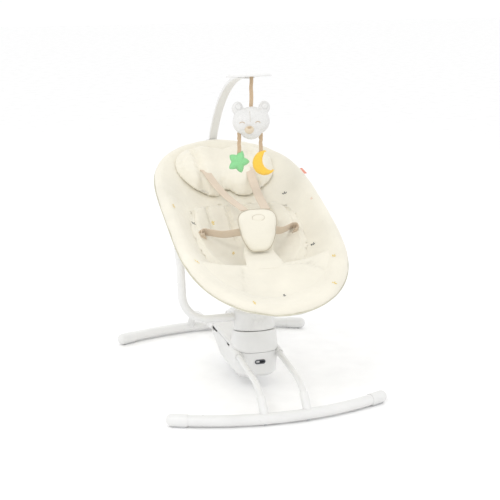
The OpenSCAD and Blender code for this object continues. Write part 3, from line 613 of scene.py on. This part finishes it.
def cushion(name, mid, shape, thick, mat, count=96, crown=7, sunk=0.003):
    """Stuffed pad on the seat. shape(t) gives its edge from mid, thick(x, y) its height.

    A larger crown keeps the top flat further out; sunk lets the pad into the cover below it.
    """
    edge = [shape(i * 2 * math.pi / count) for i in range(count)]
    rings = []
    for side, radii in ((-1, (0.05, 0.25, 0.45, 0.62, 0.77, 0.88, 0.95, 0.985)),
                        (1, (1.0, 0.985, 0.95, 0.9, 0.83, 0.75, 0.65, 0.54, 0.42, 0.3, 0.18, 0.05))):
        for r in radii:
            ring = []
            for ex, ey in edge:
                x, y = mid[0] + ex * r, mid[1] + ey * r
                round_off = math.sqrt(max(0, 1 - r**crown))
                middle = 0.2 * thick(x, y)
                z = pad_base(x, y) - sunk + middle
                z += (thick(x, y) - middle) * round_off if side > 0 else -middle * round_off
                ring.append((x, y, z))
            rings.append(ring)
    return skin(name, rings, mat)


def box_shape(half_x, half_y, power):
    return lambda t: (half_x * signed_pow(math.cos(t), 2 / power), half_y * signed_pow(math.sin(t), 2 / power))


INSERT_CHANNELS = (-0.028, -0.086, -0.134, 0.028, 0.086, 0.134)


def body_insert():
    low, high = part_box("body_insert")
    half_x, half_y = high.x, (high.y - low.y) / 2
    mid = (0, (low.y + high.y) / 2)

    def thick(x, _y):
        return 0.014 + 0.003 * smoothstep((abs(x) - 0.05) / 0.06)

    shape = box_shape(half_x - 0.001, half_y - 0.001, 3.2)
    obj = cushion("body_insert_pad", mid, shape, thick, look["cream_fabric"], count=112, crown=3, sunk=0.0065)
    puff(obj, 0.0055, 4, 0.006)
    channels = [[(x, -0.030), (x * 0.99, 0.025), (x * 0.96, 0.077)] for x in INSERT_CHANNELS]
    press(obj, channels, 0.0085, 0.0062, 0.0008)
    ripple(obj, 0.0012, 45, 2)
    return soft(obj, "cream_fabric", "body_insert", fill=0.6)


def head_pillow():
    low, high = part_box("head_pillow")
    half_x, half_y = high.x, (high.y - low.y) / 2
    mid = (0, (low.y + high.y) / 2)

    def shape(t):
        x, y = box_shape(half_x - 0.001, half_y + 0.002, 2.3)(t)
        if y < 0:
            notch = math.exp(-(((x + 0.012) / 0.026) ** 2))
            lobes = math.exp(-(((abs(x) - 0.062) / 0.04) ** 2))
            y *= 1 - 0.30 * notch + 0.06 * lobes
        return x, y

    def thick(x, y):
        lobe = smoothstep((abs(x) - 0.012) / 0.04) * (1 - smoothstep((abs(x) - 0.09) / 0.06))
        return 0.022 + 0.012 * lobe + 0.004 * smoothstep((y - mid[1]) / half_y)

    obj = cushion("butterfly_pillow", mid, shape, thick, look["pillow_fabric"])
    puff(obj, 0.0055, 5, 0.010)
    valleys = [[(s * 0.080, low.y + 0.008), (s * 0.074, mid[1]), (s * 0.082, high.y - 0.035)] for s in (-1, 1)]
    press(obj, valleys, 0.012, 0.012, 0.0012, 0.022)
    ripple(obj, 0.0014, 38, 7)
    return soft(obj, "pillow_fabric", "head_pillow", fill=0.8)


LIP_Y = -0.188      # lip of the leg rest, behind the knees
LEG_MID = -0.275    # middle of the leg rest, from which its rings grow
LIP_ROLL = 0.014


def leg_top(x, y):
    """Leg rest: below the rim by the lip's depth in the middle, level with it at the sides."""
    flat = rim_z(y) + 0.004 - 0.032 * (1 - min(1, level(x, y, SLING_INSET)) ** 1.5)
    return max(flat, sling_z(x, y) + 0.004)


def leg_rest():
    """Panel that follows the rim round the foot end and rolls over its lip."""
    inset = 0.0275
    reach = math.asin(((-LIP_Y - RIM_MID) / (RIM_L - inset)) ** (LONG_POWER / 2))
    side_steps, lip_steps = 90, 48
    sweep = math.pi - 2 * reach
    edge = [outline(math.pi + reach + sweep * i / side_steps, inset) for i in range(side_steps + 1)]
    first, last = np.array(edge[0]), np.array(edge[-1])
    edge += [tuple(last + (first - last) * i / lip_steps) for i in range(1, lip_steps)]
    under = (0.05, 0.3, 0.55, 0.75, 0.9, 0.97, 1.0)
    over = (1.0, 0.995, 0.985, 0.97, 0.95, 0.92, 0.88, 0.82, 0.74, 0.64, 0.52, 0.4, 0.27, 0.15, 0.05)
    rings = []
    for top, radii in ((False, under), (True, over)):
        for r in radii:
            ring = []
            for ex, ey in edge:
                x, y = ex * r, LEG_MID + (ey - LEG_MID) * r
                z = sling_z(x, y) + 0.003
                if top:
                    inside = min(LIP_ROLL, max(0.0, LIP_Y - y))
                    z = max(z, leg_top(x, y) - LIP_ROLL + math.sqrt(max(0, LIP_ROLL**2 - (LIP_ROLL - inside) ** 2)))
                ring.append((x, y, z))
            rings.append(ring)
    obj = skin("leg_rest_panel", rings, look["cream_fabric"])
    seams = [[(-0.062, -0.203), (-0.078, -0.27), (-0.098, -0.345)],
             [(0.058, -0.202), (0.110, -0.212), (0.148, -0.262)]]
    smooth(obj)
    press(obj, seams, 0.0035, 0.004, 0.0008)
    ripple(obj, 0.0018, 24, 9)
    return soft(obj, "cream_fabric", "leg_rest_pad", fill=0.5)


# ---- harness ----
COVER_TOP = np.array((0, -0.112, 0.484))
COVER_TIP = np.array((0, -0.146, 0.381))
COVER_DOWN = (COVER_TIP - COVER_TOP) / np.linalg.norm(COVER_TIP - COVER_TOP)
COVER_OUT = np.array((0, COVER_DOWN[2], -COVER_DOWN[1]))
COVER_MID = (COVER_TOP + COVER_TIP) / 2
COVER_LEN = np.linalg.norm(COVER_TIP - COVER_TOP)
SIDE = np.array((1.0, 0, 0))
PATCH_X, PATCH_Y, PATCH_MID = 0.0165, 0.0085, -0.031    # blank oval on the buckle's cover
WEB_W, WEB_T = 0.024, 0.0022
WAIST_ACROSS = (0, -0.55, 0.83)


def on_cover(x, y, z):
    """Point in the cover's frame: y runs down to its tip, z out of the seat."""
    return COVER_MID + SIDE * x + COVER_DOWN * y + COVER_OUT * z


def cover_edge(t):
    """Outline of the buckle cover: wide rounded top, narrower rounded tip."""
    x, y = math.cos(t), math.sin(t)
    half = COVER_LEN / 2
    wide = 0.0575 - 0.019 * smoothstep((y + 0.9) / 1.7)
    return wide * signed_pow(x, 0.62), half * signed_pow(y, 0.72)


def buckle_cover():
    rings = []
    count = 72
    edge = [cover_edge(i * 2 * math.pi / count) for i in range(count)]
    for r, z in ((0.1, 0.0006), (0.5, 0.0004), (0.85, 0.0008), (0.96, 0.0026), (1.0, 0.0062), (0.98, 0.0102),
                 (0.93, 0.0135), (0.84, 0.016), (0.68, 0.0178), (0.48, 0.0188), (0.26, 0.0192), (0.06, 0.0193)):
        rings.append([on_cover(x * r, y * r, z) for x, y in edge])
    cover = smooth(skin("buckle_cover_pad", rings, look["cream_fabric"]))
    ripple(cover, 0.0008, 70, 3)
    soft(cover, "cream_fabric", "buckle_cover", fill=0.5)
    line = [on_cover(x * 1.005, y * 1.005, 0.0062) for x, y in edge]
    trim(tube("buckle_cover_piping", line, 0.0015, seam_thread, True, 8))

    def patch(r, z):
        turns = np.linspace(0, 2 * math.pi, 40, False)
        return [on_cover(PATCH_X * r * math.cos(a), PATCH_MID + PATCH_Y * r * math.sin(a), z) for a in turns]

    trim(tube("cover_patch_edge", patch(1, 0.0182), 0.0006, seam_thread, True, 8))
    layers = ((0.1, 0.017), (0.98, 0.017), (1.0, 0.0184), (0.9, 0.0192), (0.5, 0.0196), (0.1, 0.0197))
    disc = [patch(r, z) for r, z in layers]
    trim(skin("cover_patch", disc, look["pillow_fabric"]))


def shoulder_straps():
    for name, s in (("left", -1), ("right", 1)):
        start = np.array((s * 0.064, 0.157, pad_base(0.064, 0.157) + 0.032))
        end = np.array((s * 0.028, COVER_TOP[1] + 0.001, COVER_TOP[2] - 0.001))
        upper = start * 0.72 + end * 0.28 + (0, 0, -0.008)
        lower = start * 0.4 + end * 0.6 + (0, 0, -0.010)
        line = curve([start + (0, 0.016, -0.016), start + (0, 0.004, 0.003), upper, lower, end], 10)
        across = [(1, -s * 0.16, 0)] * len(line)
        piece = strap(f"{name}_shoulder_strap", line, across, WEB_W, WEB_T, look["webbing_beige"])
        trim(piece)
        if s < 0:
            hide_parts("shoulder_straps")


def waist_straps():
    for name, s in (("left", -1), ("right", 1)):
        start = np.array((s * 0.120, -0.052, pad_base(0.120, -0.052) + 0.025))
        end = np.array((s * 0.042, -0.121, 0.430))
        mid = (start + end) / 2 + (0, 0, -0.006)
        line = curve([start + (s * 0.012, 0.010, -0.016), start, mid, end], 10)
        piece = strap(f"{name}_waist_strap", line, [WAIST_ACROSS] * len(line), WEB_W, WEB_T, look["webbing_beige"])
        trim(piece)
        if s < 0:
            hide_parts("waist_straps")
        tail = curve([start + (0, -0.002, 0.002), start + (s * 0.010, -0.006, 0.002),
                      start + (s * 0.012, -0.012, -0.008), start + (s * 0.002, -0.016, -0.006)], 8)
        loop = strap(f"{name}_waist_loop", tail, [WAIST_ACROSS] * len(tail), WEB_W, WEB_T, look["webbing_beige"])
        trim(loop)


def crotch_piece():
    start = COVER_TIP - COVER_OUT * 0.002 - COVER_DOWN * 0.016
    lip = np.array((0, LIP_Y - 0.004, leg_top(0, LIP_Y - 0.004) + 0.001))
    tuck = np.array((0, LIP_Y - 0.022, leg_top(0, LIP_Y - 0.022) - 0.0035))
    below = COVER_TIP + COVER_DOWN * 0.004 - COVER_OUT * 0.004
    line = curve([start, below, (COVER_TIP + lip) / 2 + (0, 0, -0.003), lip, tuck], 8)
    widths = [0.078 + 0.024 * smoothstep(i / (len(line) - 1)) for i in range(len(line))]
    piece = strap("crotch_piece", line, [(1, 0, 0)] * len(line), widths, 0.007, look["cream_fabric"])
    smooth(piece)
    ripple(piece, 0.0012, 50, 5)
    soft(piece, "cream_fabric", "crotch_strap", fill=0.4)


# ---- hanging toys ----
def blob(name, parts, mat, voxel, blur=6):
    """Soft toy body from overlapping ellipsoids, melted into one skin."""
    work = bmesh.new()
    for centre, size in parts:
        made = bmesh.ops.create_icosphere(work, subdivisions=4, radius=1)
        for v in made["verts"]:
            v.co = Vector([c + s * q for c, s, q in zip(centre, size, v.co)])
    mesh = bpy.data.meshes.new(name)
    work.to_mesh(mesh)
    work.free()
    obj = bpy.data.objects.new(name, mesh)
    scene.collection.objects.link(obj)
    apply_modifier(obj, "REMESH", mode="VOXEL", voxel_size=voxel)
    apply_modifier(obj, "SMOOTH", factor=0.6, iterations=blur)
    obj.data.materials.clear()
    obj.data.materials.append(mat)
    obj.data.shade_smooth()
    return obj


BEAR_LOW, BEAR_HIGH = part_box("plush_bear")
HOOK_Y = -0.072
HEAD_Z = BEAR_LOW.z + 0.0425
DROP_Z = HEAD_Z - 0.0375
STAR_X, STAR_Z, STAR_R, STAR_TURN = -0.034, HEAD_Z - 0.099, 0.031, math.radians(70)
MOON_X, MOON_Z, MOON_R, MOON_TURN = 0.037, HEAD_Z - 0.105, 0.033, math.radians(22)
STAR_RIBBON, MOON_RIBBON = -0.032, 0.026
RIBBON_W, RIBBON_T = 0.010, 0.0014


def bear():
    def at(x, y, z):
        return (x, HOOK_Y + y, HEAD_Z + z)

    head = blob("bear_head", [
        (at(-0.014, 0, 0.004), (0.0355, 0.0225, 0.034)),
        (at(0.014, 0, 0.004), (0.0355, 0.0225, 0.034)),
        (at(0, 0, 0.012), (0.036, 0.021, 0.0305)),
        (at(0, 0, -0.019), (0.0285, 0.020, 0.0235)),
        (at(-0.036, 0.003, 0.0385), (0.0155, 0.009, 0.0175)),
        (at(0.036, 0.003, 0.0385), (0.0155, 0.009, 0.0175)),
        (at(-0.010, -0.008, -0.014), (0.018, 0.017, 0.016)),
    ], look["plush_white"], 0.0022)
    ripple(head, 0.0006, 120, 1)
    soft(head, "plush_white", "plush_bear", fill=0.8, body="bear")
    tree = tree_of(head)

    def on_face(x, z, lift):
        place, normal, _, _ = tree.ray_cast(Vector(at(x, -0.2, z)), Vector((0, 1, 0)))
        return np.array(place + normal * lift)

    layers = ((0.1, -0.002), (0.97, -0.001), (1.0, 0.0008), (0.88, 0.003), (0.55, 0.0048), (0.1, 0.0055))
    snout = [[on_face(-0.0115 + 0.012 * r * math.cos(a), -0.0135 + 0.0105 * r * math.sin(a), lift)
              for a in np.linspace(0, 2 * math.pi, 36, False)]
             for r, lift in layers]
    trim(smooth(skin("bear_snout", snout, snout_cloth)), "bear")
    nose = [[on_face(-0.0125 + 0.0045 * r * math.cos(a), -0.0085 + 0.0028 * r * math.sin(a), lift)
             for a in np.linspace(0, 2 * math.pi, 24, False)]
            for r, lift in ((0.1, 0.004), (1.0, 0.0042), (0.9, 0.0062), (0.4, 0.0072), (0.1, 0.0074))]
    trim(smooth(skin("bear_nose", nose, ribbon_cloth)), "bear")
    for name, s in (("left", -1), ("right", 1)):
        arc = [on_face(-0.0095 + s * 0.0205 + 0.0062 * math.cos(a), 0.002 + 0.0045 * math.sin(a), 0.0003)
               for a in np.linspace(0.25, math.pi - 0.25, 14)]
        trim(tube(f"bear_{name}_eye", arc, 0.0008, ribbon_cloth, False, 8), "bear")
        ear = [[on_face(s * 0.035 + 0.0085 * r * math.cos(a), 0.043 + 0.0085 * r * math.sin(a), lift)
                for a in np.linspace(0, 2 * math.pi, 28, False)]
               for r, lift in ((0.1, -0.001), (0.97, -0.0006), (1.0, 0.0004), (0.6, 0.0012), (0.1, 0.0014))]
        trim(skin(f"bear_{name}_inner_ear", ear, look["plush_white"]), "bear")
    seam = [on_face(-0.009, z, 0.0002) for z in np.linspace(0.006, 0.032, 16)]
    trim(tube("bear_brow_seam", seam, 0.0004, seam_thread, False, 6), "bear")


def ribbon(name, x, top, low, body):
    """Woven ribbon with a small twist."""
    count = 24
    line = [(x + 0.0005 * math.sin(i * 0.5), HOOK_Y + 0.0006 * math.sin(i * 0.9), top + (low - top) * i / count)
            for i in range(count + 1)]
    across = [(1, 0.10 * math.sin(i * 0.26), 0) for i in range(count + 1)]
    return trim(strap(name, line, across, RIBBON_W, RIBBON_T, ribbon_cloth), body)


def star():
    count = 120

    def reach(t):
        k = (t - STAR_TURN) / (2 * math.pi / 5)
        off = abs(k - round(k)) * 2
        return STAR_R * (1.0 - 0.43 * off**0.95 + 0.05 * off**6)

    def at(t, r, y):
        return STAR_X + reach(t) * r * math.cos(t), HOOK_Y + y, STAR_Z + reach(t) * r * math.sin(t)

    turns = [i * 2 * math.pi / count for i in range(count)]
    rings = []
    half = ((0.06, 0.0125), (0.25, 0.012), (0.45, 0.011), (0.65, 0.0092), (0.82, 0.0068), (0.93, 0.004))
    for r, y in (*half, (1.0, 0), *((r, -y) for r, y in reversed(half))):
        rings.append([at(t, r, y * 0.82) for t in turns])
    body = skin("star_body", rings, look["plush_green"])
    apply_modifier(body, "SMOOTH", factor=0.6, iterations=5)
    smooth(body)
    ripple(body, 0.0006, 130, 5)
    soft(body, "plush_green", "plush_star", fill=0.8, body="star")
    seam = [at(t, 0.955, 0) for t in turns]
    trim(tube("star_seam", seam, 0.0007, look["plush_green"], True, 6), "star")
    ribbon("star_ribbon", STAR_RIBBON, DROP_Z + 0.003, STAR_Z + STAR_R * 0.6, "star")


def moon():
    """Thick crescent: a round disc with a larger round bite, its ends blunt."""
    bite, bite_r = 0.0266, 0.0316
    arc = np.linspace(math.radians(83), math.radians(321), 60)
    rings = []
    for i, a in enumerate(arc):
        b = bite * math.cos(a - MOON_TURN)
        inner = b + math.sqrt(b * b - bite**2 + bite_r**2)
        ends = min(1, min(i, len(arc) - 1 - i) / 3)
        full = max(0.0024, (MOON_R - inner) / 2)
        half_t = full * (0.45 + 0.55 * math.sqrt(ends))
        mid_r = MOON_R - full
        deep = 0.0035 + 0.0068 * min(1, half_t / 0.011)
        ring = []
        for turn in np.linspace(0, 2 * math.pi, 24, False):
            rr = mid_r + half_t * signed_pow(math.cos(turn), 0.85)
            ring.append((MOON_X + rr * math.cos(a), HOOK_Y + deep * math.sin(turn), MOON_Z + rr * math.sin(a)))
        rings.append(ring)
    body = smooth(skin("moon_body", rings, look["plush_yellow"]))
    ripple(body, 0.0005, 130, 6)
    soft(body, "plush_yellow", "plush_moon", fill=0.8, body="moon")
    ribbon("moon_ribbon", MOON_RIBBON, DROP_Z + 0.003, MOON_Z + MOON_R - 0.010, "moon")


def toys():
    bear()
    star()
    moon()
    ribbon("bear_ribbon", 0, BEAR_HIGH.z, HEAD_Z + 0.036, "bear")
    for name, x in (("star", STAR_RIBBON), ("moon", MOON_RIBBON)):
        ribbon(f"{name}_loop", x, HEAD_Z - 0.018, DROP_Z - 0.003, "bear")


def side_tag():
    low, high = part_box("side_tag")
    mid = [(a + b) / 2 for a, b in zip(low, high)]
    t = math.radians(11.6)
    along = np.array((-math.sin(t), math.cos(t), RECLINE * 0.93))
    along /= np.linalg.norm(along)
    out = np.array((math.cos(t), math.sin(t), 0))
    line = [np.array(mid) + out * u + np.array((0, 0, 0.0005 * math.sin(u * 300)))
            for u in np.linspace(-0.0085, 0.0075, 10)]
    piece = strap("side_tag_label", line, [along] * len(line), 0.031, 0.0013, look["tag_pink"])
    trim(piece)
    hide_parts("side_tag")


# ---- prints laid on the finished pads ----
LEAF_LONG, LEAF_WIDE = 0.0034, 0.0014


def print_marks(tree):
    """Small printed leaves, each laid on the cloth. Every spot has its place and its turn."""
    places = {
        "dark": [(0.004, 0.072, 20), (0.141, 0.076, 70), (0.150, -0.129, 35), (0.008, -0.316, -10),
                 (-0.141, -0.010, 50)],
        "gold": [(-0.084, 0.011, 15), (-0.054, -0.079, -30), (-0.186, -0.223, 60), (-0.083, -0.362, 10),
                 (0.170, -0.231, 25), (0.136, -0.328, 40), (-0.194, 0.001, 0)],
        "clay": [(0.187, -0.005, 30)],
    }
    cloth = {"dark": dark_print, "gold": gold_print, "clay": clay_print}
    for kind, spots in places.items():
        points, faces = [], []
        for x, y, turn in spots:
            for k in range(3 if kind != "clay" else 2):
                a = math.radians(turn + 50 * (k - 1))
                cx, cy = x + 0.0052 * math.cos(a), y + 0.0052 * math.sin(a)
                first = len(points)
                ring = np.linspace(0, 2 * math.pi, 10, False)
                for u in ring:
                    dx, dy = LEAF_LONG * math.cos(u), LEAF_WIDE * math.sin(u)
                    px = cx + dx * math.cos(a) - dy * math.sin(a)
                    py = cy + dx * math.sin(a) + dy * math.cos(a)
                    points.append(drape(tree, px, py, 0.0004))
                faces.append(list(range(first, first + len(ring))))
        obj = mesh_object(f"{kind}_prints", points, faces, cloth[kind])
        trim(obj)


camera()
lights()
floor()
cover = seat_cover()
rim_piping_and_shade()
insert = body_insert()
pillow = head_pillow()
legs = leg_rest()
buckle_cover()
shoulder_straps()
waist_straps()
crotch_piece()
toys()
side_tag()
print_marks(tree_of(cover, insert, pillow, legs))

bpy.context.view_layer.update()
